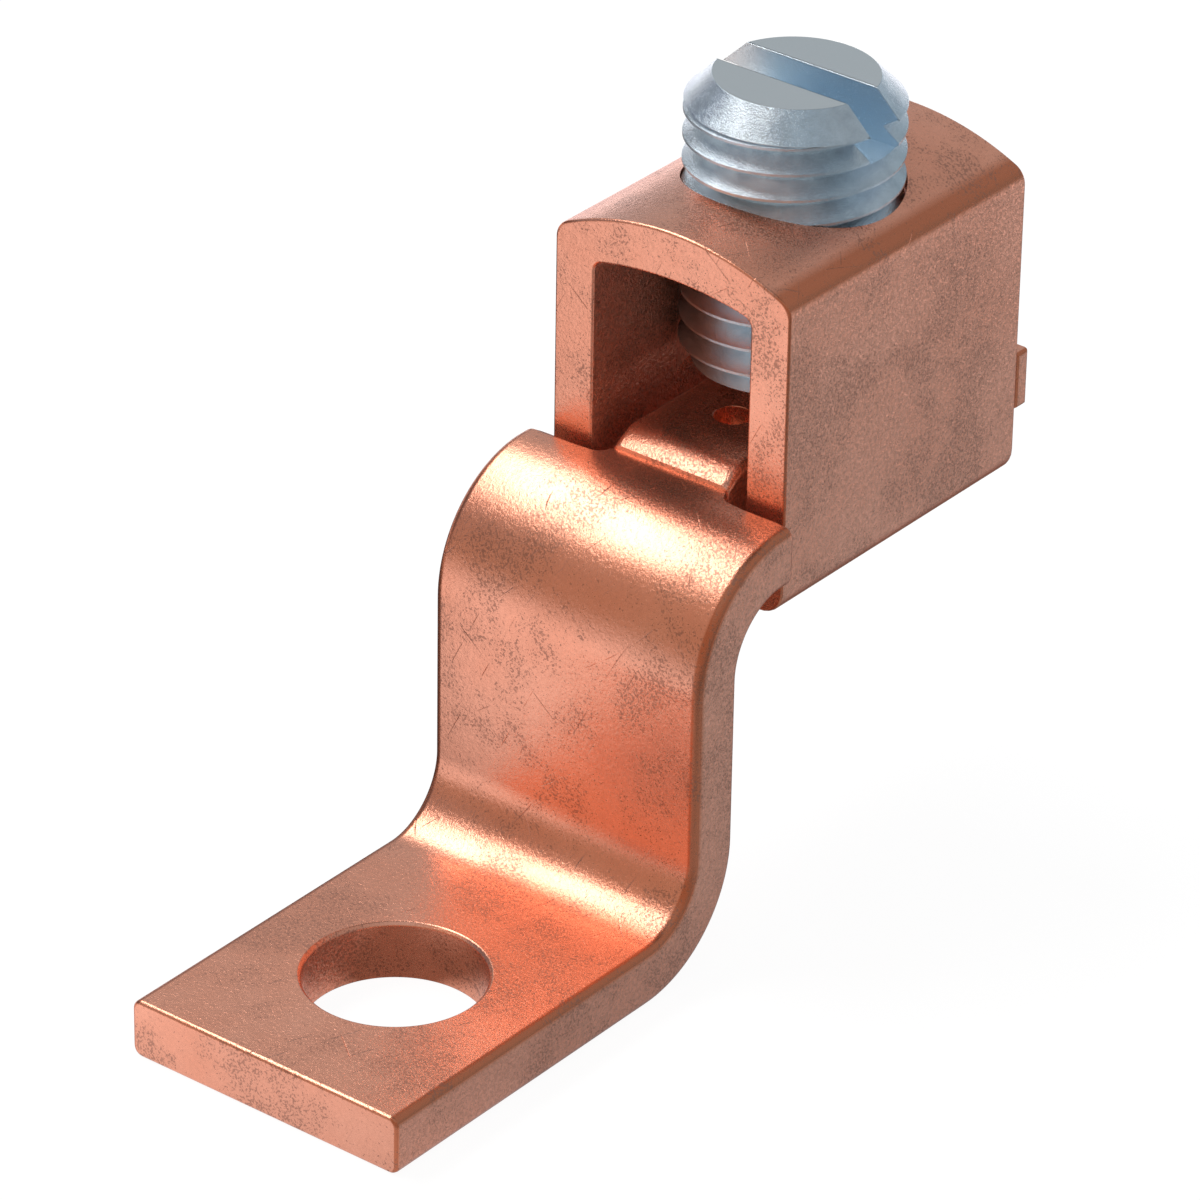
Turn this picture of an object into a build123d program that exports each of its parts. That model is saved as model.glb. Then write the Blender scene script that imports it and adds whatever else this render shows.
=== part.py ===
from build123d import *
import os
from math import sqrt

# Mechanical terminal lug: a bent copper tang, a copper collar round its neck, and a slotted
# set screw in the collar's crown. Millimetres. The origin is on the stud hole's axis, at the
# underside of the palm. X runs from the palm towards the collar, Z is up, Y runs across.

# copper strip that the tang is bent from
strip_width = 12.0
strip_thickness = 2.3
strip_edge_round = 0.4
bend_inner_radius = 2.5

# palm, riser and upper flat
palm_front = 7.1
stud_hole_diameter = 6.6
stud_hole_edge_break = 0.12
riser_x = 9.3
offset_height = 13.7
shoulder_x = 14.6

# neck through the collar, and the wide tail behind it
neck_width = 5.2
neck_rise = 0.7
neck_ramp_run = 0.3
neck_ramp_inset = 0.6
neck_ramp_round = 0.35
neck_edge_round = 0.35
notch_round = 0.6
tail_width = 10.3
tail_length = 0.7

# round dimple punched into the neck, in front of the screw
dimple_diameter = 1.4
dimple_depth = 0.8
dimple_from_collar_front = 3.8

# collar, a closed ring round the neck
collar_length = 14.05
collar_width = 10.4
collar_side_wall = 1.72
collar_crown_wall = 1.86
collar_floor_wall = 1.86
wire_room = 6.85
crown_outer_radius = 11.2
crown_inner_radius = 14.9
collar_top_round = 0.75
collar_bottom_round = 1.0
collar_inner_round = 0.45
collar_edge_break = 0.08
shoulder_gap = 0.45
tail_gap = 0.1

# set screw
screw_diameter = 8.0
screw_length = 11.0
screw_tip_above_neck = 1.35
thread_pitch = 1.0
thread_depth = 0.7
thread_crest_flat = 0.1
thread_bore_clearance = 0.05
thread_start_angle = 72.0
screw_top_chamfer = 1.0
screw_tip_chamfer = 0.3
slot_width = 1.7
slot_depth = 2.05

# levels and places that follow from the sizes above
bend_outer_radius = bend_inner_radius + strip_thickness
upper_top = offset_height + strip_thickness
neck_top = upper_top + neck_rise
neck_bottom = neck_top - strip_thickness
neck_ramp_x = shoulder_x + neck_ramp_inset
collar_front = shoulder_x + shoulder_gap
collar_back = collar_front + collar_length
tail_front = collar_back + tail_gap
tail_end = tail_front + tail_length
collar_bottom = offset_height - collar_floor_wall
crown_inner_top = neck_top + wire_room
collar_top = crown_inner_top + collar_crown_wall
screw_x = collar_front + collar_length / 2
screw_radius = screw_diameter / 2
screw_tip = neck_top + screw_tip_above_neck

# how far a cutting tool reaches past the surface that it cuts
past = 1.0

# two lengths closer than this are the same
same = 1e-6


def bent_strip():
    """Palm, riser and upper flat as one strip of even thickness, cut square at the shoulders."""
    t = strip_thickness
    low_centre = (riser_x - bend_inner_radius, t + bend_inner_radius)
    high_centre = (riser_x + bend_outer_radius, upper_top - bend_outer_radius)
    with BuildSketch(Plane.XZ) as side:
        with BuildLine():
            Line((-palm_front, 0), (-palm_front, t))
            Line((-palm_front, t), (low_centre[0], t))
            CenterArc(low_centre, bend_inner_radius, -90, 90)
            Line((riser_x, low_centre[1]), (riser_x, high_centre[1]))
            CenterArc(high_centre, bend_outer_radius, 180, -90)
            Line((high_centre[0], upper_top), (shoulder_x, upper_top))
            Line((shoulder_x, upper_top), (shoulder_x, offset_height))
            Line((shoulder_x, offset_height), (high_centre[0], offset_height))
            CenterArc(high_centre, bend_inner_radius, 90, 90)
            Line((riser_x + t, high_centre[1]), (riser_x + t, low_centre[1]))
            CenterArc(low_centre, bend_outer_radius, 0, -90)
            Line((low_centre[0], 0), (-palm_front, 0))
        make_face()
    strip = extrude(side.sketch, amount=strip_width / 2, both=True)
    ends = strip.faces().filter_by(Axis.X)
    rims = strip.edges().filter_by(lambda e: abs(abs(e.center().Y) - strip_width / 2) < same)
    end_edges = ends.sort_by(Axis.X)[0].edges() + ends.sort_by(Axis.X)[-1].edges()
    end_centres = [e.center() for e in end_edges]
    long_edges = [e for e in rims if min((e.center() - c).length for c in end_centres) > same]
    return fillet(long_edges, strip_edge_round)


def neck():
    """The narrow neck, which steps up just inside the collar and runs back to the tail."""
    t = strip_thickness
    root = shoulder_x - past
    ramp_end = neck_ramp_x + neck_ramp_run
    with BuildSketch(Plane.XZ) as side:
        with BuildLine():
            Polyline(
                (root, upper_top),
                (neck_ramp_x, upper_top),
                (ramp_end, neck_top),
                (tail_end, neck_top),
                (tail_end, neck_bottom),
                (ramp_end, neck_bottom),
                (neck_ramp_x, upper_top - t),
                (root, upper_top - t),
                close=True,
            )
        make_face()
        steps = [v for v in side.vertices() if abs(v.X - ramp_end) < same]
        fillet(steps, neck_ramp_round)
    body = extrude(side.sketch, amount=neck_width / 2, both=True)
    sides = body.faces().filter_by(Axis.Y)
    top_edges = [
        e for f in sides for e in f.edges()
        if e.center().Z > upper_top - same and e.center().X < tail_end - same
    ]
    return fillet(top_edges, neck_edge_round)


def tail():
    """The tail behind the collar, as wide as the collar, which keeps it on the neck."""
    return Pos((tail_front + tail_end) / 2, 0, neck_bottom) * Box(
        tail_length, tail_width, strip_thickness, align=(Align.CENTER, Align.CENTER, Align.MIN)
    )


def notch_fills():
    """Quarter-round fillets in the four corners where the neck meets the shoulders and the tail."""
    fills = []
    corners = (
        (shoulder_x, 1, upper_top - strip_thickness, upper_top),
        (tail_front, -1, neck_bottom, neck_top),
    )
    for x, along, low, high in corners:
        for side in (1, -1):
            y = side * neck_width / 2
            centre = (x + along * notch_round, y + side * notch_round)
            with BuildSketch(Plane.XY.offset(low)) as plan:
                with Locations(((x + centre[0]) / 2, (y + centre[1]) / 2)):
                    Rectangle(notch_round, notch_round)
                with Locations(centre):
                    Circle(notch_round, mode=Mode.SUBTRACT)
            fills.append(extrude(plan.sketch, amount=high - low))
    return fills


def tang():
    body = bent_strip() + neck() + tail()
    for fill in notch_fills():
        body = body + fill
    drill = Pos(0, 0, -past) * Cylinder(
        stud_hole_diameter / 2,
        strip_thickness + 2 * past,
        align=(Align.CENTER, Align.CENTER, Align.MIN),
    )
    body = body - drill
    circles = body.edges().filter_by(GeomType.CIRCLE)
    rims = circles.filter_by(lambda e: abs(e.radius - stud_hole_diameter / 2) < same)
    body = fillet(rims.sort_by(Axis.Z)[-1], stud_hole_edge_break)
    punch = Pos(collar_front + dimple_from_collar_front, 0, neck_top - dimple_depth) * Cylinder(
        dimple_diameter / 2,
        dimple_depth + past,
        align=(Align.CENTER, Align.CENTER, Align.MIN),
    )
    return body - punch


def ring_outline(half_width, low, high, arch_radius, low_round, high_round):
    """A closed outline across the collar: flat floor, straight sides and an arched crown."""
    eave = high - (arch_radius - sqrt(arch_radius**2 - half_width**2))
    with BuildSketch(Plane.YZ) as outline:
        with BuildLine():
            Polyline((half_width, eave), (half_width, low), (-half_width, low), (-half_width, eave))
            ThreePointArc((-half_width, eave), (0, high), (half_width, eave))
        make_face()
        fillet([v for v in outline.vertices() if abs(v.Y - low) < same], low_round)
        fillet([v for v in outline.vertices() if abs(v.Y - eave) < same], high_round)
    return outline.sketch


def collar():
    outer = ring_outline(
        collar_width / 2, collar_bottom, collar_top, crown_outer_radius,
        collar_bottom_round, collar_top_round,
    )
    inner = ring_outline(
        collar_width / 2 - collar_side_wall, offset_height, crown_inner_top, crown_inner_radius,
        collar_inner_round, collar_inner_round,
    )
    ring = Pos(collar_front, 0, 0) * extrude(outer - inner, amount=collar_length)
    ends = ring.faces().filter_by(Axis.X)
    ring = chamfer([e for f in ends for e in f.edges()], collar_edge_break)
    bore = Pos(screw_x, 0, neck_top) * Cylinder(
        screw_radius + thread_bore_clearance,
        collar_top - neck_top + past,
        align=(Align.CENTER, Align.CENTER, Align.MIN),
    )
    return ring - bore


def thread_groove(length):
    """The V groove of a right-hand thread, from a pitch below the tip to a pitch above length."""
    turns_height = length + 2 * thread_pitch
    half_opening = (thread_pitch - thread_crest_flat) / 2
    outside = screw_radius + thread_depth / 4
    flare = half_opening * (outside - screw_radius + thread_depth) / thread_depth
    path = Pos(0, 0, -thread_pitch) * Helix(thread_pitch, turns_height, screw_radius)
    start = path @ 0
    with BuildSketch(Plane(origin=(0, 0, start.Z), x_dir=(1, 0, 0), z_dir=(0, -1, 0))) as section:
        with BuildLine():
            Polyline(
                (screw_radius - thread_depth, 0),
                (outside, flare),
                (outside, -flare),
                close=True,
            )
        make_face()
    return Rot(0, 0, thread_start_angle) * sweep(section.sketch, path=path, is_frenet=True)


def set_screw():
    shank_length = screw_length - screw_top_chamfer
    base = (Align.CENTER, Align.CENTER, Align.MIN)
    shank = Cylinder(screw_radius, shank_length, align=base)
    shank = chamfer(shank.faces().sort_by(Axis.Z)[0].edges(), screw_tip_chamfer)
    shank = shank - thread_groove(shank_length)
    head = Pos(0, 0, shank_length) * Cone(
        screw_radius, screw_radius - screw_top_chamfer, screw_top_chamfer, align=base
    )
    slot = Pos(0, 0, screw_length - slot_depth) * Box(
        slot_width, screw_diameter + 2 * past, slot_depth + past, align=base
    )
    return Pos(screw_x, 0, screw_tip) * (shank + head - slot)


os.makedirs("parts", exist_ok=True)
for name, piece in (("tang", tang()), ("collar", collar()), ("set_screw", set_screw())):
    export_step(piece, "parts/" + name + ".step")
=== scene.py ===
"""Mechanical terminal lug: a bent copper tang, a copper collar and a slotted set screw.

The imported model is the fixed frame. Each operator makes one piece where the frame has it, and
the piece then rides on the frame's body. Mesh code works in millimetres and ends in metres.
"""

from math import asin, cos, pi, radians, sin, sqrt
from types import SimpleNamespace

import bmesh
import bpy
from mathutils import Matrix, Vector


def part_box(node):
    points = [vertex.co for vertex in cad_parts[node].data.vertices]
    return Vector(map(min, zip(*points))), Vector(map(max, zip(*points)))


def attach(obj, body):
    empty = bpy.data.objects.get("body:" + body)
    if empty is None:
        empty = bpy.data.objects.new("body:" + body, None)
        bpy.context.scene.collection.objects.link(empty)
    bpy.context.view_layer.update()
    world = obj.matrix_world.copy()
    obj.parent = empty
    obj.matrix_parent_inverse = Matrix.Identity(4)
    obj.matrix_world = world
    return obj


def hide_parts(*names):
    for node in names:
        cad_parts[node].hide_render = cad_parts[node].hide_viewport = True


bl_info = {
    "name": "Mechanical Lug",
    "version": (1, 0, 0),
    "blender": (4, 5, 0),
    "location": "View3D > Sidebar > Lug",
    "description": "Makes an offset copper terminal lug with a collar and a slotted set screw",
    "category": "Add Mesh",
}

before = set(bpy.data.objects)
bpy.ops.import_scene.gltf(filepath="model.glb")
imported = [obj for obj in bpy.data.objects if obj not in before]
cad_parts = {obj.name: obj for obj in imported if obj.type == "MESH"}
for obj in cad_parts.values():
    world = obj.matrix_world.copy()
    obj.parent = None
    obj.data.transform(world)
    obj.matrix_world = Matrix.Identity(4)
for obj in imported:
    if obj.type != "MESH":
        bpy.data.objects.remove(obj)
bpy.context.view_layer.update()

MM = 0.001
TANG_LOW, TANG_HIGH = (Vector(corner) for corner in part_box("tang"))
COLLAR_LOW, COLLAR_HIGH = (Vector(corner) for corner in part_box("collar"))
SCREW_LOW, SCREW_HIGH = (Vector(corner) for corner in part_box("set_screw"))

# two points nearer than this, in millimetres, count as level
SAME = 1e-4


# Sizes and colours that a user would change


def length(name, description, default):
    """A length property. The default is in metres."""
    return bpy.props.FloatProperty(
        name=name, description=description, default=default, min=0.0, precision=5,
        subtype="DISTANCE", unit="LENGTH",
    )


def tint(name, description, default):
    """A colour property."""
    return bpy.props.FloatVectorProperty(
        name=name, description=description, default=default, min=0.0, max=1.0, size=3,
        subtype="COLOR",
    )


def share(name, description, default):
    """A share from none to all."""
    return bpy.props.FloatProperty(
        name=name, description=description, default=default, min=0.0, max=1.0, subtype="FACTOR",
    )


class LugTangSizes(bpy.types.PropertyGroup):
    strip_width: length("Strip Width", "Width of the copper strip", TANG_HIGH.y - TANG_LOW.y)
    thickness: length("Thickness", "Thickness of the copper strip", 2.3 * MM)
    edge_round: length("Edge Round", "Radius of the strip's long edges", 0.4 * MM)
    palm_front: length("Palm Front", "From the stud hole's axis to the palm's end", -TANG_LOW.x)
    hole_diameter: length("Hole Diameter", "Diameter of the stud hole", 6.6 * MM)
    hole_break: length("Hole Edge Break", "Break of the stud hole's upper edge", 0.12 * MM)
    bend_radius: length("Bend Radius", "Inner radius of both bends", 2.5 * MM)
    riser_x: length("Riser Place", "From the stud hole's axis to the riser's front", 9.3 * MM)
    offset_height: length("Offset Height", "From palm's underside to upper flat's", 13.7 * MM)
    shoulder_x: length("Shoulder Place", "From the stud hole's axis to the shoulders", 14.6 * MM)
    neck_width: length("Neck Width", "Width of the neck in the collar", 5.2 * MM)
    neck_top: length("Neck Top", "Height of the neck's top", TANG_HIGH.z)
    neck_edge_round: length("Neck Edge Round", "Radius of the neck's upper edges", 0.35 * MM)
    notch_round: length("Notch Round", "Radius in the corners beside the neck", 0.6 * MM)
    ramp_run: length("Ramp Run", "Length of the step up to the neck", 1.12 * MM)
    lip: length("Lip", "Height of the sharp lip at the foot of the step", 0.15 * MM)
    lip_run: length("Lip Run", "Length of the lip's front", 0.03 * MM)
    tail_width: length("Tail Width", "Width of the tail behind the collar", 10.3 * MM)
    tail_length: length("Tail Length", "Length of the tail behind the collar", 0.7 * MM)
    tail_end: length("Tail End", "From the stud hole's axis to the tail's end", TANG_HIGH.x)
    dimple_diameter: length("Dimple Diameter", "Diameter of the round dimple", 1.4 * MM)
    dimple_depth: length("Dimple Depth", "Depth of the round dimple", 0.8 * MM)
    dimple_x: length("Dimple Place", "From the stud hole's axis to the dimple", 18.85 * MM)


class LugCollarSizes(bpy.types.PropertyGroup):
    front: length("Front", "From the stud hole's axis to the collar's front", COLLAR_LOW.x)
    back: length("Back", "From the stud hole's axis to the collar's back", COLLAR_HIGH.x)
    width: length("Width", "Width of the collar", COLLAR_HIGH.y - COLLAR_LOW.y)
    bottom: length("Bottom", "Height of the collar's underside", COLLAR_LOW.z)
    top: length("Top", "Height of the crown's top", COLLAR_HIGH.z)
    side_wall: length("Side Wall", "Thickness of the side walls", 1.72 * MM)
    crown_wall: length("Crown Wall", "Thickness of the crown and the floor", 1.86 * MM)
    outer_arch: length("Outer Arch", "Radius of the crown's outside", 11.2 * MM)
    inner_arch: length("Inner Arch", "Radius of the crown's inside", 14.9 * MM)
    top_round: length("Top Round", "Radius of the upper corners", 0.75 * MM)
    bottom_round: length("Bottom Round", "Radius of the lower corners", 1.0 * MM)
    inner_round: length("Inner Round", "Radius of the inner corners", 0.45 * MM)
    bore_diameter: length("Bore Diameter", "Diameter of the screw's bore", 8.1 * MM)


class LugScrewSizes(bpy.types.PropertyGroup):
    place: length("Place", "Stud hole's axis to screw's axis", (SCREW_LOW.x + SCREW_HIGH.x) / 2)
    tip: length("Tip", "Height of the screw's tip", SCREW_LOW.z)
    length: length("Length", "Length of the screw", SCREW_HIGH.z - SCREW_LOW.z)
    diameter: length("Diameter", "Outer diameter of the thread", SCREW_HIGH.x - SCREW_LOW.x)
    pitch: length("Pitch", "Pitch of the thread", 1.0 * MM)
    thread_depth: length("Thread Depth", "Depth of the thread", 0.7 * MM)
    crest: length("Crest Width", "Width of the thread's crest", 0.1 * MM)
    top_chamfer: length("Top Chamfer", "Chamfer round the driver end", 1.0 * MM)
    tip_chamfer: length("Tip Chamfer", "Chamfer round the tip", 0.3 * MM)
    slot_width: length("Slot Width", "Width of the driver slot", 1.7 * MM)
    slot_depth: length("Slot Depth", "Depth of the driver slot", 2.05 * MM)


class LugFinishes(bpy.types.PropertyGroup):
    copper: tint("Copper", "Bare copper", (0.92, 0.42, 0.285))
    red_copper: tint("Red Copper", "Redder patches in the copper", (0.88, 0.37, 0.24))
    patina: tint("Patina", "Brown patina specks", (0.36, 0.17, 0.12))
    haze: tint("Haze", "Thin brown haze round the specks", (0.66, 0.30, 0.20))
    # painted shade: a darker colour that stands in for the shade on the rounded long edges
    edge_shade: tint("Edge Tone", "Darker tone of the rounded long edges", (0.56, 0.17, 0.08))
    patina_amount: share("Patina Amount", "How much of the copper has specks", 0.8)
    zinc: tint("Zinc", "Zinc plating on the driver face", (0.74, 0.76, 0.77))
    blue_zinc: tint("Blue Zinc", "Bluish plating on the thread", (0.58, 0.66, 0.72))
    zinc_shade: tint("Zinc Shade", "Darker patches in the plating", (0.46, 0.53, 0.59))
    # zinc darkened and blued by painted shade and a painted blue reflection in the driver slot
    shaded_slot_zinc: tint("Slot Zinc", "Plating in the driver slot", (0.42, 0.55, 0.66))
    # painted highlight at one end of the driver slot
    slot_end_highlight: tint("Pale Zinc", "Paler plating at one end of the slot", (0.97, 0.99, 1.0))


class LugStage(bpy.types.PropertyGroup):
    key_power: bpy.props.FloatProperty(
        name="Key Power", description="Power of the large soft lamp", default=1.25, min=0.0,
        unit="POWER",
    )
    warm_room: tint("Warm Room", "Light from the front left", (0.48, 0.36, 0.28))
    cool_room: tint("Cool Room", "Light from the back right", (0.48, 0.51, 0.53))
    horizon: tint("Horizon", "Low light from the back right", (0.30, 0.41, 0.48))
    zenith: tint("Zenith", "Light from straight above", (0.05, 0.07, 0.09))
    front_sky: tint("Front Sky", "Cool light high at the front", (0.52, 0.60, 0.66))
    left_gap: tint("Left Gap", "Dim blue gap low on the left", (0.15, 0.20, 0.28))
    bright_floor: tint("Bright Floor", "Floor that the front faces mirror", (1.0, 0.97, 1.0))
    # painted shadow: the floor in the lug's shadow, as the right side faces mirror it
    shadowed_floor: tint("Dull Floor", "Floor close to the right side", (0.42, 0.46, 0.50))
    far_floor: tint("Far Floor", "Floor farther from the right side", (0.52, 0.62, 0.68))
    # painted shade on the floor behind the lug
    shaded_back_floor: tint("Back Floor", "Floor behind the lug", (0.08, 0.07, 0.07))
    twice_room: tint("Twice Mirrored Room", "Warm side, mirrored between copper", (1.0, 0.95, 0.87))
    under_floor: tint("Floor Beneath", "Floor in the shade under the lug", (0.25, 0.16, 0.13))
    # painted light on the floor at the stud hole's sides
    lit_hole_floor: tint("Hole Floor", "Lighter floor at the stud hole's sides", (0.85, 0.78, 0.78))


def in_mm(group):
    """The lengths of a property group in millimetres."""
    return SimpleNamespace(**{name: getattr(group, name) / MM for name in group.__annotations__})


# Node helpers


def put(tree, kind, inputs=None, **settings):
    """Adds a node, sets its options, then fills or links its inputs."""
    made = tree.nodes.new(kind)
    for name, value in settings.items():
        setattr(made, name, value)
    for key, value in (inputs or {}).items():
        if isinstance(value, bpy.types.NodeSocket):
            tree.links.new(value, made.inputs[key])
        else:
            made.inputs[key].default_value = value
    return made


def new_group(name, kind, takes, gives):
    """A node group with named inputs and outputs, and its two end nodes."""
    group = bpy.data.node_groups.new(name, kind)
    for label, socket, default in takes:
        made = group.interface.new_socket(label, in_out="INPUT", socket_type=socket)
        if default is not None:
            made.default_value = default
    for label, socket in gives:
        group.interface.new_socket(label, in_out="OUTPUT", socket_type=socket)
    return group, group.nodes.new("NodeGroupInput"), group.nodes.new("NodeGroupOutput")


def calc(tree, operation, first, second=0.0, third=0.0, clamp=False):
    """The result of one Math node."""
    made = put(tree, "ShaderNodeMath", {0: first, 1: second, 2: third}, operation=operation,
               use_clamp=clamp)
    return made.outputs[0]


def blend_colour(tree, factor, first, second, how="MIX"):
    """A colour between two others."""
    made = put(tree, "ShaderNodeMix", data_type="RGBA", blend_type=how)
    for index, value in ((0, factor), (6, first), (7, second)):
        if isinstance(value, bpy.types.NodeSocket):
            tree.links.new(value, made.inputs[index])
        else:
            made.inputs[index].default_value = value
    return made.outputs[2]


def remap(tree, value, low, high, curve="LINEAR"):
    """A share that grows from none at low to all at high."""
    made = put(tree, "ShaderNodeMapRange", {"Value": value, "From Min": low, "From Max": high},
               interpolation_type=curve)
    return made.outputs[0]


def noise(tree, vector, scale, detail, roughness=0.5, distortion=0.0):
    """The value of one noise texture."""
    made = put(tree, "ShaderNodeTexNoise", {
        "Vector": vector, "Scale": scale, "Detail": detail, "Roughness": roughness,
        "Distortion": distortion,
    })
    return made.outputs["Fac"]


def dot(tree, vector, axis):
    """How far a vector reaches along an axis."""
    made = put(tree, "ShaderNodeVectorMath", {0: vector, 1: axis}, operation="DOT_PRODUCT")
    return made.outputs["Value"]


def gradient(tree, vector, axis, low, high):
    """A smooth share that grows along an axis from low to high."""
    return remap(tree, dot(tree, vector, axis), low, high, "SMOOTHSTEP")


def unsigned(tree, vector):
    """A vector with each of its parts made positive."""
    return put(tree, "ShaderNodeVectorMath", {0: vector}, operation="ABSOLUTE").outputs[0]


def parts(tree, vector):
    """The three parts of a vector."""
    return put(tree, "ShaderNodeSeparateXYZ", {0: vector}).outputs


# Mesh helpers


def new_object(name, mesh):
    """An object at the origin that shows a mesh."""
    made = bpy.data.objects.new(name, mesh)
    bpy.context.scene.collection.objects.link(made)
    return made


def grow(piece, group, values):
    """Runs a geometry tree with its named inputs on a piece, and keeps the result as a mesh."""
    modifier = piece.modifiers.new("grow", "NODES")
    modifier.node_group = group
    sockets = {item.name: item.identifier for item in group.interface.items_tree
               if item.item_type == "SOCKET" and item.in_out == "INPUT"}
    for name, value in values.items():
        modifier[sockets[name]] = value
    depsgraph = bpy.context.evaluated_depsgraph_get()
    result = bpy.data.meshes.new_from_object(piece.evaluated_get(depsgraph))
    piece.modifiers.remove(modifier)
    if not result.polygons:
        raise RuntimeError("the geometry tree made no faces for " + piece.name)
    blank = piece.data
    piece.data = result
    bpy.data.meshes.remove(blank)
    result.name = piece.name


def soften(piece, width, angle, share_at=None):
    """Smooth shading between sharp edges, and a rounding along them, of a share of the width."""
    mesh = piece.data
    for face in mesh.polygons:
        face.use_smooth = True
    mesh.set_sharp_from_angle(angle=angle)
    sharp = [flag.value for flag in mesh.attributes["sharp_edge"].data]
    weights = mesh.attributes.new("bevel_weight_edge", "FLOAT", "EDGE").data
    for edge in mesh.edges:
        if sharp[edge.index]:
            ends = [mesh.vertices[index].co / MM for index in edge.vertices]
            weights[edge.index].value = share_at(*ends) if share_at else 1.0
    bevel = piece.modifiers.new("edge rounding", "BEVEL")
    bevel.width = width * MM
    bevel.segments = 3
    bevel.limit_method = "WEIGHT"
    bevel.use_clamp_overlap = False
    bevel.harden_normals = True


def settle(piece, body, node):
    """Puts a finished piece in the place of its node in the frame."""
    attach(piece, body)
    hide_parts(node)


def end_tree(tree, geometry, start, end):
    """Scales to metres, realises and gives the material."""
    scaled = put(tree, "GeometryNodeTransform", {"Geometry": geometry, "Scale": (MM,) * 3})
    real = put(tree, "GeometryNodeRealizeInstances", {"Geometry": scaled.outputs[0]})
    dressed = put(tree, "GeometryNodeSetMaterial",
                  {"Geometry": real.outputs[0], "Material": start.outputs["Material"]})
    tree.links.new(dressed.outputs[0], end.inputs["Geometry"])


# Tang


def rise_of_ramp(size, along):
    """Height of the step to the neck at a distance past its foot: a lip, then an easing slope."""
    rise = size.neck_top - size.offset_height - size.thickness
    if along <= 0:
        return 0.0
    if along < size.lip_run:
        return size.lip * along / size.lip_run
    left = max(0.0, 1 - (along - size.lip_run) / (size.ramp_run - size.lip_run))
    return rise - (rise - size.lip) * left**1.6


def tang_blank(size):
    """The flat blank as a mesh: palm, strip, neck and tail in one outline, with the neck raised."""
    middle = size.bend_radius + size.thickness / 2
    arc = middle * pi / 2
    first = size.riser_x - size.bend_radius
    riser = size.offset_height - 2 * size.bend_radius - size.thickness
    second = first + arc + riser
    unrolled = second + arc - (size.riser_x + size.bend_radius + size.thickness)
    shoulder = size.shoulder_x + unrolled
    ramp = shoulder + size.notch_round
    tail_end = size.tail_end + unrolled
    tail = tail_end - size.tail_length
    half, neck, wide = size.strip_width / 2, size.neck_width / 2, size.tail_width / 2
    steps = 8
    side = [(-size.palm_front, -half), (shoulder, -half)]
    for step in range(steps + 1):
        turn = pi / 2 * step / steps
        side.append((ramp - size.notch_round * cos(turn),
                     -neck - size.notch_round + size.notch_round * sin(turn)))
    for step in range(steps + 1):
        turn = pi / 2 * (1 - step / steps)
        side.append((tail - size.notch_round + size.notch_round * cos(turn),
                     -neck - size.notch_round + size.notch_round * sin(turn)))
    side += [(tail, -wide), (tail_end, -wide)]
    outline = side + [(x, -y) for x, y in reversed(side)]

    made = bmesh.new()
    corners = [made.verts.new((x, y, 0)) for x, y in outline]
    base = made.faces.new(corners)
    base.normal_update()
    top = bmesh.ops.extrude_face_region(made, geom=[base])
    for vert in (item for item in top["geom"] if isinstance(item, bmesh.types.BMVert)):
        vert.co.z += size.thickness
    bmesh.ops.recalc_face_normals(made, faces=made.faces)

    cuts = [first + arc * step / 28 for step in range(29)]
    cuts += [second + arc * step / 28 for step in range(29)]
    cuts += [ramp, ramp + size.lip_run]
    slope = size.ramp_run - size.lip_run
    cuts += [ramp + size.lip_run + slope * step / 12 for step in range(1, 13)]
    for place in cuts:
        bmesh.ops.bisect_plane(
            made, geom=made.verts[:] + made.edges[:] + made.faces[:],
            plane_co=(place, 0, 0), plane_no=(1, 0, 0), dist=SAME,
        )

    def level(edge, y):
        return all(abs(abs(v.co.y) - y) < SAME for v in edge.verts) and (
            abs(edge.verts[0].co.z - edge.verts[1].co.z) < SAME)

    long_edges = [e for e in made.edges if level(e, half) and e.calc_length() > SAME
                  and abs(e.verts[0].co.x - e.verts[1].co.x) > SAME]
    bmesh.ops.bevel(made, geom=long_edges, offset=size.edge_round, segments=6, profile=0.5,
                    affect="EDGES")
    neck_edges = [e for e in made.edges if level(e, neck) and e.verts[0].co.z > size.thickness / 2
                  and abs(e.verts[0].co.x - e.verts[1].co.x) > SAME]
    bmesh.ops.bevel(made, geom=neck_edges, offset=size.neck_edge_round, segments=5, profile=0.5,
                    affect="EDGES")
    for vert in made.verts:
        vert.co.z += rise_of_ramp(size, vert.co.x - ramp)
    mesh = bpy.data.meshes.new("tang")
    made.to_mesh(mesh)
    made.free()
    places = {"First Bend": first, "Second Bend": second, "Unrolled": unrolled}
    return mesh, places


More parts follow.
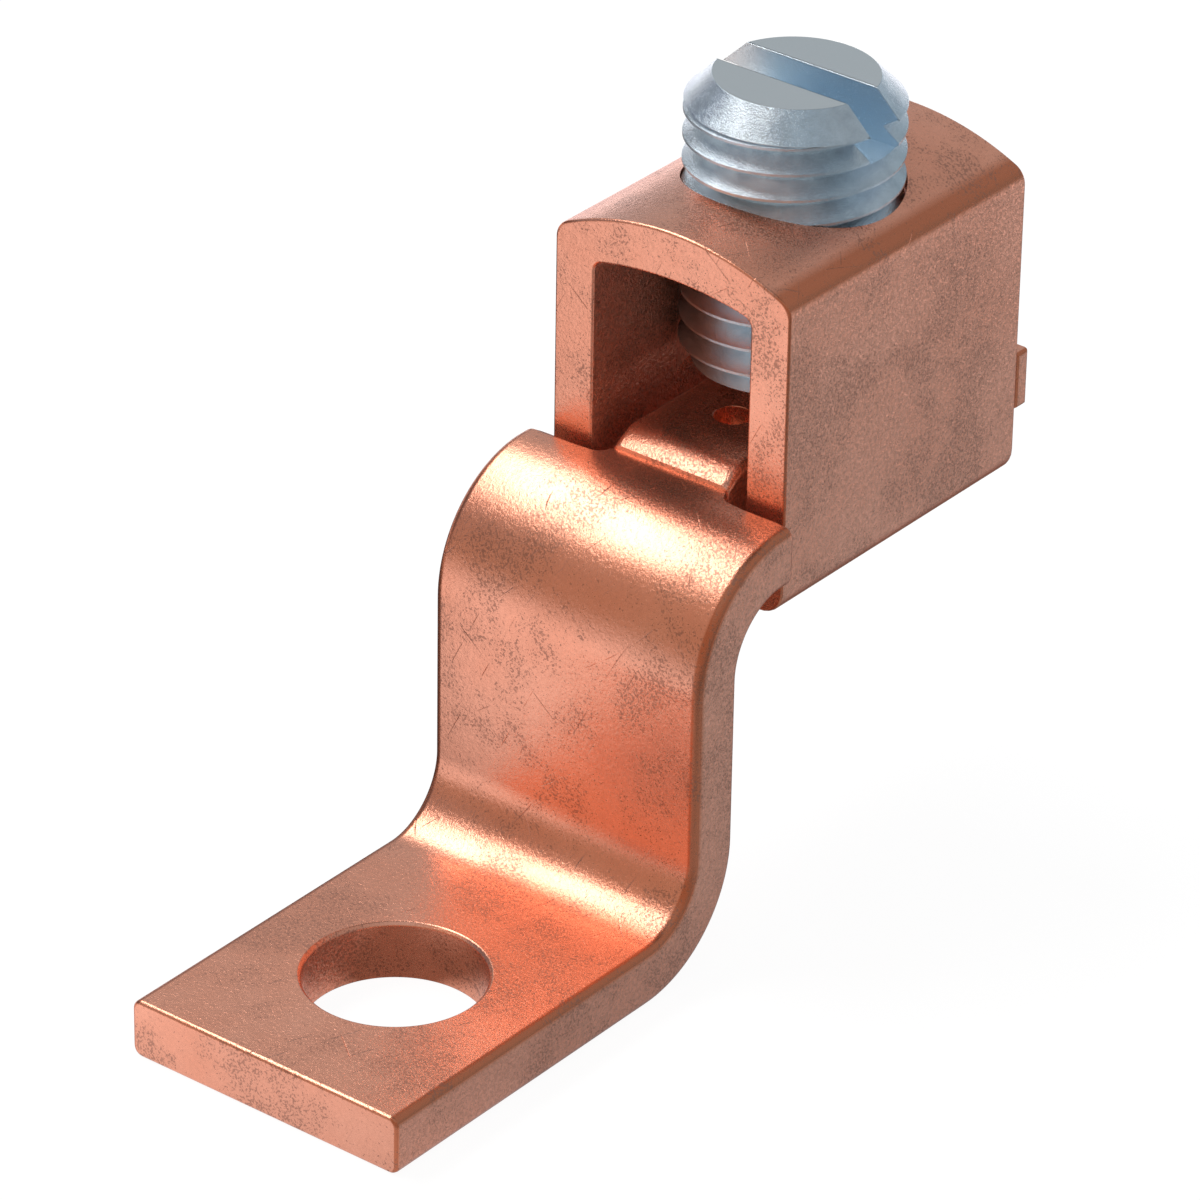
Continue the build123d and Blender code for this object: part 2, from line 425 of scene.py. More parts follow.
def bent_strip_tree():
    """Drills a flat blank, then bends it up and back to level."""
    tree, start, end = new_group(
        "Bent Strip",
        "GeometryNodeTree",
        (
            ("Geometry", "NodeSocketGeometry", None),
            ("Thickness", "NodeSocketFloat", 2.3),
            ("Bend Radius", "NodeSocketFloat", 3.65),
            ("First Bend", "NodeSocketFloat", 6.8),
            ("Second Bend", "NodeSocketFloat", 18.9),
            ("Hole Diameter", "NodeSocketFloat", 6.6),
            ("Hole Edge Break", "NodeSocketFloat", 0.12),
            ("Dimple Diameter", "NodeSocketFloat", 1.4),
            ("Dimple Place", "NodeSocketFloat", 29.4),
            ("Dimple Floor", "NodeSocketFloat", 2.2),
            ("Material", "NodeSocketMaterial", None),
        ),
        (("Geometry", "NodeSocketGeometry"),),
    )
    take = start.outputs
    tall = 8.0
    hole_radius = calc(tree, "MULTIPLY", take["Hole Diameter"], 0.5)
    drill = put(tree, "GeometryNodeMeshCylinder",
                {"Vertices": 144, "Radius": hole_radius, "Depth": tall}, fill_type="NGON")
    flare = put(tree, "GeometryNodeMeshCone", {
        "Vertices": 144, "Radius Top": calc(tree, "ADD", hole_radius, 1.0),
        "Radius Bottom": hole_radius, "Depth": 1.0,
    }, fill_type="NGON")
    rim = put(tree, "ShaderNodeCombineXYZ", {
        "Z": calc(tree, "SUBTRACT", take["Thickness"], take["Hole Edge Break"])})
    flare_up = put(tree, "GeometryNodeTransform",
                   {"Geometry": flare.outputs["Mesh"], "Translation": rim.outputs[0]})
    punch = put(tree, "GeometryNodeMeshCylinder", {
        "Vertices": 48, "Radius": calc(tree, "MULTIPLY", take["Dimple Diameter"], 0.5),
        "Depth": tall,
    }, fill_type="NGON")
    punch_place = put(tree, "ShaderNodeCombineXYZ", {
        "X": take["Dimple Place"], "Z": calc(tree, "ADD", take["Dimple Floor"], tall / 2)})
    punch_up = put(tree, "GeometryNodeTransform",
                   {"Geometry": punch.outputs["Mesh"], "Translation": punch_place.outputs[0]})
    cut = put(tree, "GeometryNodeMeshBoolean", {0: take["Geometry"]}, operation="DIFFERENCE",
              solver="EXACT")
    for tool in (drill.outputs["Mesh"], flare_up.outputs[0], punch_up.outputs[0]):
        tree.links.new(tool, cut.inputs["Mesh 2"])

    here = parts(tree, put(tree, "GeometryNodeInputPosition").outputs[0])
    along, across, high = here
    radius, first, second = take["Bend Radius"], take["First Bend"], take["Second Bend"]
    quarter = calc(tree, "MULTIPLY", radius, pi / 2)
    riser_start = calc(tree, "ADD", first, quarter)
    flat_start = calc(tree, "ADD", second, quarter)

    def turn_from(bend):
        ratio = calc(tree, "DIVIDE", calc(tree, "SUBTRACT", along, bend), radius)
        return calc(tree, "MAXIMUM", calc(tree, "MINIMUM", ratio, pi / 2), 0.0)

    up, down = turn_from(first), turn_from(second)
    beyond = calc(tree, "MAXIMUM", calc(tree, "SUBTRACT", along, flat_start), 0.0)
    x = calc(tree, "ADD", calc(tree, "MINIMUM", along, first), beyond)
    x = calc(tree, "MULTIPLY_ADD", calc(tree, "SINE", up), radius, x)
    fall = calc(tree, "SUBTRACT", 1.0, calc(tree, "COSINE", down))
    x = calc(tree, "MULTIPLY_ADD", fall, radius, x)
    climb = calc(tree, "MAXIMUM", calc(tree, "SUBTRACT", along, riser_start), 0.0)
    climb = calc(tree, "MINIMUM", climb, calc(tree, "SUBTRACT", second, riser_start))
    half = calc(tree, "MULTIPLY", take["Thickness"], 0.5)
    z = calc(tree, "ADD", half, climb)
    z = calc(tree, "MULTIPLY_ADD", calc(tree, "SUBTRACT", 1.0, calc(tree, "COSINE", up)), radius, z)
    z = calc(tree, "MULTIPLY_ADD", calc(tree, "SINE", down), radius, z)
    lean = calc(tree, "SUBTRACT", up, down)
    out = calc(tree, "SUBTRACT", high, half)
    x = calc(tree, "SUBTRACT", x, calc(tree, "MULTIPLY", out, calc(tree, "SINE", lean)))
    z = calc(tree, "MULTIPLY_ADD", out, calc(tree, "COSINE", lean), z)
    place = put(tree, "ShaderNodeCombineXYZ", {"X": x, "Y": across, "Z": z})
    bent = put(tree, "GeometryNodeSetPosition",
               {"Geometry": cut.outputs["Mesh"], "Position": place.outputs[0]})
    end_tree(tree, bent.outputs[0], start, end)
    return tree


class LUG_OT_tang(bpy.types.Operator):
    """Cuts the tang from flat strip, drills it and bends it"""

    bl_idname = "lug.make_tang"
    bl_label = "Make Tang"

    def execute(self, context):
        size = in_mm(context.scene.lug_tang)
        mesh, places = tang_blank(size)
        piece = new_object("lug_tang", mesh)
        neck_in_blank = size.neck_top - size.offset_height
        grow(piece, bent_strip_tree(), {
            "Thickness": size.thickness,
            "Bend Radius": size.bend_radius + size.thickness / 2,
            "First Bend": places["First Bend"],
            "Second Bend": places["Second Bend"],
            "Hole Diameter": size.hole_diameter,
            "Hole Edge Break": size.hole_break,
            "Dimple Diameter": size.dimple_diameter,
            "Dimple Place": size.dimple_x + places["Unrolled"],
            "Dimple Floor": neck_in_blank - size.dimple_depth,
            "Material": finish("bare_copper"),
        })

        # the hole's rim and the neck's corners are rounded less, and the lip not at all,
        # because a wider rounding would fold there
        def share_at(one, other):
            middle = (one + other) / 2
            reach = size.hole_diameter / 2 + 0.2
            drilled = max(abs(middle.x), abs(middle.y)) < reach
            beside_neck = size.neck_width / 2 + size.notch_round + 0.3
            at_neck = middle.x > size.shoulder_x - 0.3 and abs(middle.y) < beside_neck
            lip_foot = size.shoulder_x + size.notch_round
            at_lip = lip_foot - 0.05 < middle.x < lip_foot + size.lip_run + 0.05
            if at_lip and abs(middle.y) < beside_neck:
                return 0.0
            return 0.25 if drilled or at_neck else 1.0

        soften(piece, 0.17, radians(32), share_at)
        settle(piece, "lug", "tang")
        return {"FINISHED"}


# Collar


def ring_loop(half, low, high, arch, low_round, high_round):
    """Points across the collar, the same number for the outer and the inner outline."""
    eave = high - (arch - sqrt(arch**2 - half**2))
    centre_z = high - arch
    # the corner arc touches the straight side and, from inside, the crown's arc
    reach = arch - high_round
    corner_y = half - high_round
    corner_z = centre_z + sqrt(reach**2 - corner_y**2)
    lean = asin(corner_y / reach)
    points = []
    bends = 7
    for step in range(bends + 1):
        turn = pi / 2 * step / bends
        points.append((half - low_round * (1 - sin(turn)), low + low_round * (1 - cos(turn))))
    for step in range(bends + 1):
        turn = (pi / 2 - lean) * step / bends
        points.append((corner_y + high_round * cos(turn), corner_z + high_round * sin(turn)))
    crown = 14
    for step in range(1, crown):
        turn = lean * (1 - step / crown)
        points.append((arch * sin(turn), centre_z + arch * cos(turn)))
    top = (0.0, high)
    left = [(-y, z) for y, z in reversed(points)]
    return points + [top] + left


def collar_blank(size):
    """The collar as a closed ring drawn along X."""
    made = bmesh.new()
    outer = ring_loop(size.width / 2, size.bottom, size.top, size.outer_arch,
                      size.bottom_round, size.top_round)
    inner = ring_loop(size.width / 2 - size.side_wall, size.bottom + size.crown_wall,
                      size.top - size.crown_wall, size.inner_arch,
                      size.inner_round, size.inner_round)
    count = len(outer)
    rings = [[made.verts.new((x, y, z)) for y, z in loop]
             for x, loop in ((size.front, outer), (size.back, outer),
                             (size.back, inner), (size.front, inner))]
    for here, there in zip(rings, rings[1:] + rings[:1]):
        for step in range(count):
            after = (step + 1) % count
            made.faces.new((here[step], there[step], there[after], here[after]))
    bmesh.ops.recalc_face_normals(made, faces=made.faces)
    mesh = bpy.data.meshes.new("collar")
    made.to_mesh(mesh)
    made.free()
    return mesh


def bored_ring_tree():
    """Bores a ring from above."""
    tree, start, end = new_group(
        "Bored Ring",
        "GeometryNodeTree",
        (
            ("Geometry", "NodeSocketGeometry", None),
            ("Bore Diameter", "NodeSocketFloat", 8.1),
            ("Bore Place", "NodeSocketFloat", 22.1),
            ("Bore Floor", "NodeSocketFloat", 16.7),
            ("Material", "NodeSocketMaterial", None),
        ),
        (("Geometry", "NodeSocketGeometry"),),
    )
    take = start.outputs
    tall = 12.0
    drill = put(tree, "GeometryNodeMeshCylinder", {
        "Vertices": 144, "Radius": calc(tree, "MULTIPLY", take["Bore Diameter"], 0.5),
        "Depth": tall}, fill_type="NGON")
    place = put(tree, "ShaderNodeCombineXYZ", {
        "X": take["Bore Place"], "Z": calc(tree, "ADD", take["Bore Floor"], tall / 2)})
    tool = put(tree, "GeometryNodeTransform",
               {"Geometry": drill.outputs["Mesh"], "Translation": place.outputs[0]})
    cut = put(tree, "GeometryNodeMeshBoolean", {0: take["Geometry"], 1: tool.outputs[0]},
              operation="DIFFERENCE", solver="EXACT")
    end_tree(tree, cut.outputs["Mesh"], start, end)
    return tree


class LUG_OT_collar(bpy.types.Operator):
    """Makes the collar round the neck, with the screw's bore in its crown"""

    bl_idname = "lug.make_collar"
    bl_label = "Make Collar"

    def execute(self, context):
        size = in_mm(context.scene.lug_collar)
        piece = new_object("lug_collar", collar_blank(size))
        grow(piece, bored_ring_tree(), {
            "Bore Diameter": size.bore_diameter,
            "Bore Place": context.scene.lug_screw.place / MM,
            "Bore Floor": context.scene.lug_tang.neck_top / MM,
            "Material": finish("bare_copper"),
        })

        def share_at(one, other):
            middle = (one + other) / 2
            at_end = min(middle.x - size.front, size.back - middle.x) < 0.01
            return 1.0 if at_end else 0.0

        soften(piece, 0.12, radians(32), share_at)
        settle(piece, "lug", "collar")
        return {"FINISHED"}


# Set screw


def threaded_screw_tree():
    """A headless screw: a turned blank, a right-hand groove round it and a slot across its top."""
    tree, start, end = new_group(
        "Threaded Screw",
        "GeometryNodeTree",
        (
            ("Geometry", "NodeSocketGeometry", None),
            ("Diameter", "NodeSocketFloat", 8.0),
            ("Length", "NodeSocketFloat", 11.0),
            ("Pitch", "NodeSocketFloat", 1.0),
            ("Thread Depth", "NodeSocketFloat", 0.7),
            ("Crest Width", "NodeSocketFloat", 0.1),
            ("Start Angle", "NodeSocketFloat", 1.2566),
            ("Top Chamfer", "NodeSocketFloat", 1.0),
            ("Tip Chamfer", "NodeSocketFloat", 0.3),
            ("Slot Width", "NodeSocketFloat", 1.7),
            ("Slot Depth", "NodeSocketFloat", 2.05),
            ("Place", "NodeSocketVector", None),
            ("Material", "NodeSocketMaterial", None),
        ),
        (("Geometry", "NodeSocketGeometry"),),
    )
    take = start.outputs
    radius = calc(tree, "MULTIPLY", take["Diameter"], 0.5)
    shank = calc(tree, "SUBTRACT", take["Length"], take["Top Chamfer"])

    # blank: four rings, from the tip's chamfer to the driver end
    rod = put(tree, "GeometryNodeMeshCylinder", {
        "Vertices": 144, "Side Segments": 3, "Radius": 1.0, "Depth": 3.0}, fill_type="NGON")
    here = parts(tree, put(tree, "GeometryNodeInputPosition").outputs[0])
    x, y, level = here
    is_tip = calc(tree, "LESS_THAN", level, -1.0)
    is_low = calc(tree, "LESS_THAN", level, 0.0)
    is_top = calc(tree, "GREATER_THAN", level, 1.0)
    inset = calc(tree, "MULTIPLY", is_tip, take["Tip Chamfer"])
    inset = calc(tree, "MULTIPLY_ADD", is_top, take["Top Chamfer"], inset)
    wide = calc(tree, "SUBTRACT", radius, inset)
    low_z = calc(tree, "MULTIPLY", calc(tree, "SUBTRACT", 1.0, is_tip), take["Tip Chamfer"])
    high_z = calc(tree, "MULTIPLY_ADD", is_top, take["Top Chamfer"], shank)
    is_high = calc(tree, "SUBTRACT", 1.0, is_low)
    z = calc(tree, "ADD", calc(tree, "MULTIPLY", is_low, low_z),
             calc(tree, "MULTIPLY", is_high, high_z))
    turned = put(tree, "ShaderNodeCombineXYZ", {
        "X": calc(tree, "MULTIPLY", x, wide), "Y": calc(tree, "MULTIPLY", y, wide), "Z": z})
    blank = put(tree, "GeometryNodeSetPosition",
                {"Geometry": rod.outputs["Mesh"], "Position": turned.outputs[0]})

    # groove: a three-sided bar wound round the blank, root inwards
    turns, sides = 13, 96
    bar = put(tree, "GeometryNodeMeshCylinder", {
        "Vertices": 3, "Side Segments": turns * sides, "Radius": 1.0, "Depth": float(turns)},
        fill_type="NGON")
    here = parts(tree, put(tree, "GeometryNodeInputPosition").outputs[0])
    inward, beside, wound = here
    clear = 0.03
    outness = calc(tree, "DIVIDE", calc(tree, "SUBTRACT", 1.0, inward), 1.5)
    root = calc(tree, "SUBTRACT", radius, take["Thread Depth"])
    deep = calc(tree, "ADD", take["Thread Depth"], clear)
    r = calc(tree, "MULTIPLY_ADD", outness, deep, root)
    opening = calc(tree, "SUBTRACT", take["Pitch"], take["Crest Width"])
    opening = calc(tree, "MULTIPLY", opening, 0.5)
    flare = calc(tree, "MULTIPLY", opening, calc(tree, "DIVIDE", deep, take["Thread Depth"]))
    aside = calc(tree, "MULTIPLY", calc(tree, "DIVIDE", beside, sin(2 * pi / 3)), flare)
    turn_count = calc(tree, "ADD", wound, turns / 2)
    angle = calc(tree, "MULTIPLY_ADD", turn_count, 2 * pi, take["Start Angle"])
    z = calc(tree, "MULTIPLY_ADD", calc(tree, "SUBTRACT", turn_count, 1.0), take["Pitch"], aside)
    winding = put(tree, "ShaderNodeCombineXYZ", {
        "X": calc(tree, "MULTIPLY", r, calc(tree, "COSINE", angle)),
        "Y": calc(tree, "MULTIPLY", r, calc(tree, "SINE", angle)), "Z": z})
    groove = put(tree, "GeometryNodeSetPosition",
                 {"Geometry": bar.outputs["Mesh"], "Position": winding.outputs[0]})
    keep = put(tree, "GeometryNodeMeshCylinder",
               {"Vertices": 24, "Radius": calc(tree, "MULTIPLY", radius, 2.0), "Depth": 20.0},
               fill_type="NGON")
    below = put(tree, "ShaderNodeCombineXYZ", {"Z": calc(tree, "SUBTRACT", shank, 10.0)})
    keep_low = put(tree, "GeometryNodeTransform",
                   {"Geometry": keep.outputs["Mesh"], "Translation": below.outputs[0]})
    ended = put(tree, "GeometryNodeMeshBoolean", operation="INTERSECT", solver="EXACT")
    tree.links.new(groove.outputs[0], ended.inputs["Mesh 2"])
    tree.links.new(keep_low.outputs[0], ended.inputs["Mesh 2"])

    slot_size = put(tree, "ShaderNodeCombineXYZ", {
        "X": take["Slot Width"], "Y": calc(tree, "MULTIPLY", take["Diameter"], 1.5),
        "Z": calc(tree, "MULTIPLY", take["Slot Depth"], 2.0)})
    slot = put(tree, "GeometryNodeMeshCube", {"Size": slot_size.outputs[0]})
    at_top = put(tree, "ShaderNodeCombineXYZ", {"Z": take["Length"]})
    slot_up = put(tree, "GeometryNodeTransform",
                  {"Geometry": slot.outputs["Mesh"], "Translation": at_top.outputs[0]})
    cut = put(tree, "GeometryNodeMeshBoolean", {0: blank.outputs[0]}, operation="DIFFERENCE",
              solver="EXACT")
    tree.links.new(ended.outputs["Mesh"], cut.inputs["Mesh 2"])
    tree.links.new(slot_up.outputs[0], cut.inputs["Mesh 2"])
    placed = put(tree, "GeometryNodeTransform",
                 {"Geometry": cut.outputs["Mesh"], "Translation": take["Place"]})
    end_tree(tree, placed.outputs[0], start, end)
    return tree


class LUG_OT_screw(bpy.types.Operator):
    """Winds the set screw's thread and cuts its driver slot"""

    bl_idname = "lug.make_screw"
    bl_label = "Make Set Screw"

    def execute(self, context):
        size = in_mm(context.scene.lug_screw)
        piece = new_object("lug_set_screw", bpy.data.meshes.new("set_screw"))
        grow(piece, threaded_screw_tree(), {
            "Diameter": size.diameter,
            "Length": size.length,
            "Pitch": size.pitch,
            "Thread Depth": size.thread_depth,
            "Crest Width": size.crest,
            "Start Angle": radians(72),
            "Top Chamfer": size.top_chamfer,
            "Tip Chamfer": size.tip_chamfer,
            "Slot Width": size.slot_width,
            "Slot Depth": size.slot_depth,
            "Place": (size.place, 0.0, size.tip),
            "Material": finish("zinc_plating"),
        })

        def share_at(one, other):
            middle = (one + other) / 2
            beside_slot = abs(abs(middle.x - size.place) - size.slot_width / 2) < 0.01
            top = size.tip + size.length
            if min(one.z, other.z) < top - size.top_chamfer - 0.01:
                return 0.0
            return 1.0 if beside_slot and middle.z > top - 0.01 else 0.4

        soften(piece, 0.06, radians(32), share_at)
        settle(piece, "screw", "set_screw")
        return {"FINISHED"}


# Finishes


def patina_group():
    """Small dark marks of patina, gathered in clouds, and the clouds. Works in millimetres."""
    group, start, end = new_group(
        "Patina Specks",
        "ShaderNodeTree",
        (
            ("Vector", "NodeSocketVector", None),
            ("Speck Scale", "NodeSocketFloat", 9.5),
            ("Cloud Scale", "NodeSocketFloat", 0.33),
            ("Amount", "NodeSocketFloat", 0.5),
        ),
        (("Specks", "NodeSocketFloat"), ("Clouds", "NodeSocketFloat")),
    )
    spot = start.outputs["Vector"]
    clouds = noise(group, spot, start.outputs["Cloud Scale"], 4.0, 0.62)
    cloud = remap(group, clouds, 0.42, 0.62, "SMOOTHSTEP")
    reach = calc(group, "MULTIPLY", cloud, start.outputs["Amount"])
    level = calc(group, "MULTIPLY_ADD", reach, -0.19, 0.69)
    mask = None
    for turn in ((0.0, 0.67, 0.88), (0.0, -0.66, 0.97)):
        turned = put(group, "ShaderNodeMapping", {
            "Vector": spot, "Rotation": turn, "Scale": (1.6, 0.8, 0.8),
        }, vector_type="TEXTURE")
        specks = noise(group, turned.outputs[0], start.outputs["Speck Scale"], 1.0)
        layer = calc(group, "MULTIPLY", calc(group, "SUBTRACT", specks, level), 11.0, clamp=True)
        mask = layer if mask is None else calc(group, "MAXIMUM", mask, layer)
    group.links.new(mask, end.inputs["Specks"])
    group.links.new(cloud, end.inputs["Clouds"])
    return group


def scratch_group():
    """Straight fine scratches of limited length, in a few directions. Works in millimetres."""
    group, start, end = new_group(
        "Fine Scratches",
        "ShaderNodeTree",
        (
            ("Vector", "NodeSocketVector", None),
            ("Spacing", "NodeSocketFloat", 1.0),
            ("Width", "NodeSocketFloat", 0.03),
            ("Amount", "NodeSocketFloat", 0.5),
        ),
        (("Scratches", "NodeSocketFloat"),),
    )
    spot, spacing = start.outputs["Vector"], start.outputs["Spacing"]
    directions = ((0.36, 0.83, 0.42), (-0.61, 0.47, 0.64), (0.25, 0.62, -0.74))
    total = None
    for number, direction in enumerate(directions):
        # each lane across the direction holds one line, at a place and with gaps of its own
        lanes = calc(group, "DIVIDE", dot(group, spot, direction), spacing)
        lane = calc(group, "FLOOR", lanes)
        chance = put(group, "ShaderNodeTexWhiteNoise",
                     {"W": calc(group, "ADD", lane, 31.7 * number)}, noise_dimensions="1D")
        place = calc(group, "MULTIPLY_ADD", chance.outputs["Value"], 0.6, 0.2)
        off_line = calc(group, "SUBTRACT", calc(group, "SUBTRACT", lanes, lane), place)
        off_line = calc(group, "MULTIPLY", calc(group, "ABSOLUTE", off_line), spacing)
        off_line = calc(group, "DIVIDE", off_line, start.outputs["Width"])
        line = calc(group, "SUBTRACT", 1.0, off_line, clamp=True)
        shifted = put(group, "ShaderNodeVectorMath", {0: chance.outputs["Color"], 1: (40.0,) * 3},
                      operation="MULTIPLY")
        moved = put(group, "ShaderNodeVectorMath", {0: spot, 1: shifted.outputs[0]},
                    operation="ADD")
        stretches = noise(group, moved.outputs[0], 0.55, 1.0)
        edge = calc(group, "MULTIPLY_ADD", start.outputs["Amount"], -0.25, 0.72)
        on = calc(group, "MULTIPLY", calc(group, "SUBTRACT", stretches, edge), 14.0, clamp=True)
        layer = calc(group, "MULTIPLY", line, on)
        total = layer if total is None else calc(group, "MAXIMUM", total, layer)
    group.links.new(total, end.inputs["Scratches"])
    return group


def shared_group(name):
    """A surface effect's node group, built once."""
    return bpy.data.node_groups.get(name) or EFFECTS[name]()


def effect(tree, name, spot, **values):
    """Places a surface effect in a material with its own values."""
    made = put(tree, "ShaderNodeGroup", node_tree=shared_group(name))
    tree.links.new(spot, made.inputs["Vector"])
    for key, value in values.items():
        made.inputs[key.replace("_", " ").title()].default_value = value
    return made.outputs


def metal(name):
    """A new metal material: its tree, its shader, its coordinates in millimetres and its normal."""
    material = bpy.data.materials.new(name)
    material.use_nodes = True
    tree = material.node_tree
    shader = tree.nodes["Principled BSDF"]
    place = put(tree, "ShaderNodeTexCoord")
    spot = put(tree, "ShaderNodeVectorMath", {0: place.outputs["Object"], 1: (1 / MM,) * 3},
               operation="MULTIPLY")
    return material, tree, shader, spot.outputs[0], place.outputs["Normal"]


def opaque(colour):
    """A colour with its alpha."""
    return (*colour, 1.0)


def bare_copper():
    """Rolled copper with patina marks, scratches and a fine grain, coarser on the side faces, and
    painted shade on the rounded long edges.
    """
    colours = bpy.context.scene.lug_finishes
    material, tree, shader, spot, normal = metal("bare_copper")
    shader.inputs["Metallic"].default_value = 0.9
    marks = effect(tree, "Patina Specks", spot, amount=colours.patina_amount)
    lines = effect(tree, "Fine Scratches", spot, spacing=1.5, width=0.018, amount=0.5)["Scratches"]
    sideways = parts(tree, unsigned(tree, normal))["Y"]
    flank = remap(tree, sideways, 0.88, 0.98)
    leaning = remap(tree, sideways, 0.10, 0.24)
    outer = remap(tree, parts(tree, unsigned(tree, spot))["Y"], 4.2, 4.6)
    long_edge = calc(tree, "MULTIPLY", outer, calc(tree, "SUBTRACT", leaning, flank, clamp=True))

    swing = remap(tree, noise(tree, spot, 0.22, 3.0, 0.6), 0.35, 0.65)
    colour = blend_colour(tree, swing, opaque(colours.copper), opaque(colours.red_copper))
    grain = noise(tree, spot, 6.5, 3.0, 0.7, 0.5)
    dull = remap(tree, grain, 0.43, 0.58)
    haze = calc(tree, "MULTIPLY", marks["Clouds"], 0.25)
    haze = calc(tree, "MULTIPLY_ADD", dull, calc(tree, "MULTIPLY_ADD", flank, 0.5, 0.25), haze)
    colour = blend_colour(tree, haze, colour, opaque(colours.haze))
    # painted shade on the rounded long edges, found by their leaning normals
    edge_shade_share = calc(tree, "MULTIPLY", long_edge, 0.9)
    colour = blend_colour(tree, edge_shade_share, colour, opaque(colours.edge_shade))
    speck_share = calc(tree, "MULTIPLY_ADD", flank, -0.12, 0.72)
    marked = calc(tree, "MULTIPLY", marks["Specks"], speck_share)
    colour = blend_colour(tree, marked, colour, opaque(colours.patina))
    colour = blend_colour(tree, calc(tree, "MULTIPLY", lines, 0.4), colour, opaque(colours.patina))
    tree.links.new(colour, shader.inputs["Base Color"])

    rough = calc(tree, "MULTIPLY_ADD", marks["Specks"], 0.10, 0.27)
    rough = calc(tree, "MULTIPLY_ADD", flank, 0.08, rough)
    tree.links.new(rough, shader.inputs["Roughness"])

    relief = calc(tree, "MULTIPLY", grain, calc(tree, "MULTIPLY_ADD", flank, 7.5, 1.1))
    relief = calc(tree, "MULTIPLY_ADD", lines, -0.6, relief)
    bump = put(tree, "ShaderNodeBump", {"Height": relief, "Strength": 0.6, "Distance": 0.02 * MM})
    tree.links.new(bump.outputs[0], shader.inputs["Normal"])
    return material


def zinc_plating():
    """Bluish zinc plating: plain on the driver face, with a sparkling grain on the other faces; in
    the driver slot, painted shade with a painted blue reflection, and a painted highlight towards
    its +Y end.
    """
    colours = bpy.context.scene.lug_finishes
    material, tree, shader, spot, normal = metal("zinc_plating")
    shader.inputs["Metallic"].default_value = 1.0
    size = in_mm(bpy.context.scene.lug_screw)
    top = size.tip + size.length
    slope = parts(tree, normal)["Z"]
    x, _, z = parts(tree, spot)
    aside = calc(tree, "ABSOLUTE", calc(tree, "SUBTRACT", x, size.place))
    in_slot = calc(tree, "MULTIPLY", calc(tree, "LESS_THAN", aside, size.slot_width / 2 + 0.02),
                   calc(tree, "GREATER_THAN", z, top - size.slot_depth - 0.02))
    plain = calc(tree, "SUBTRACT", remap(tree, slope, 0.9, 0.98), in_slot, clamp=True)
    rest = calc(tree, "SUBTRACT", 1.0, plain)
    swing = remap(tree, noise(tree, spot, 1.1, 3.0, 0.6), 0.35, 0.7)
    colour = blend_colour(tree, swing, opaque(colours.blue_zinc), opaque(colours.zinc_shade))
    colour = blend_colour(tree, plain, colour, opaque(colours.zinc))
    # painted highlight towards the slot's +Y end, over the slot's painted shade and blue reflection
    highlight_end = gradient(tree, spot, (0.0, 1.0, 0.0), 1.2, 3.6)
    slot_shade_and_highlight = blend_colour(tree, highlight_end, opaque(colours.shaded_slot_zinc), opaque(colours.slot_end_highlight))
    colour = blend_colour(tree, in_slot, colour, slot_shade_and_highlight)
    tree.links.new(colour, shader.inputs["Base Color"])
    tree.links.new(calc(tree, "MULTIPLY_ADD", in_slot, -0.25, 1.0), shader.inputs["Metallic"])
    sparkle = noise(tree, spot, 15.0, 3.0, 0.75)
    rough = calc(tree, "MULTIPLY_ADD", sparkle, 0.14, 0.10)
    rough = calc(tree, "MULTIPLY_ADD", in_slot, 0.08, rough)
    tree.links.new(rough, shader.inputs["Roughness"])
    height = calc(tree, "MULTIPLY", sparkle, calc(tree, "MULTIPLY_ADD", rest, 1.15, 0.1))
    bump = put(tree, "ShaderNodeBump", {"Height": height, "Strength": 0.8, "Distance": 0.02 * MM})
    tree.links.new(bump.outputs[0], shader.inputs["Normal"])
    return material


EFFECTS = {"Patina Specks": patina_group, "Fine Scratches": scratch_group}
FINISHES = {"bare_copper": bare_copper, "zinc_plating": zinc_plating}


def finish(name):
    """A finish's material, built once."""
    return bpy.data.materials.get(name) or FINISHES[name]()


# Stage

ALONG = (1.0, 0.0, 0.0)
ACROSS = (0.0, 1.0, 0.0)
UPWARD = (0.0, 0.0, 1.0)

CAMERA_LENS = 214.716
CAMERA_PLACE = Vector((-162.2079, -135.068, 137.5328)) * MM
CAMERA_YAW, CAMERA_PITCH, CAMERA_ROLL = radians(-52.1), radians(29.6486), radians(0.9757)

# a ray that one surface has mirrored comes to the room with this depth
MIRRORED_ONCE = 2


def look(yaw, pitch, roll):
    """Rotation of a camera that looks at yaw and pitch, turned by roll about its line of sight."""
    back = Vector((sin(yaw) * cos(pitch), -cos(yaw) * cos(pitch), sin(pitch)))
    right = (-back).cross(Vector((0, 0, 1))).normalized()
    up = right.cross(-back)
    turned = right * cos(roll) + up * sin(roll)
    top = up * cos(roll) - right * sin(roll)
    return Matrix((turned, top, back)).transposed()


def toward(azimuth, elevation):
    """A unit vector from its azimuth and elevation in degrees."""
    turn, rise = radians(azimuth), radians(elevation)
    return Vector((cos(rise) * cos(turn), cos(rise) * sin(turn), sin(rise)))


def soft_lamp(name, one_end, other_end, target, distance, width, power):
    """A long softbox that spans two directions as seen from its target."""
    middle = (one_end + other_end).normalized()
    long_way = (other_end - one_end).normalized()
    cross_way = middle.cross(long_way).normalized()
    lamp = bpy.data.lights.new(name, "AREA")
    lamp.shape = "RECTANGLE"
    lamp.size = (other_end - one_end).length * distance + width
    lamp.size_y = width
    lamp.energy = power
    shown = bpy.data.objects.new(name, lamp)
    turn = Matrix((cross_way.cross(middle), cross_way, middle)).transposed()
    shown.matrix_world = Matrix.Translation(Vector(target) + middle * distance) @ turn.to_4x4()
    bpy.context.scene.collection.objects.link(shown)


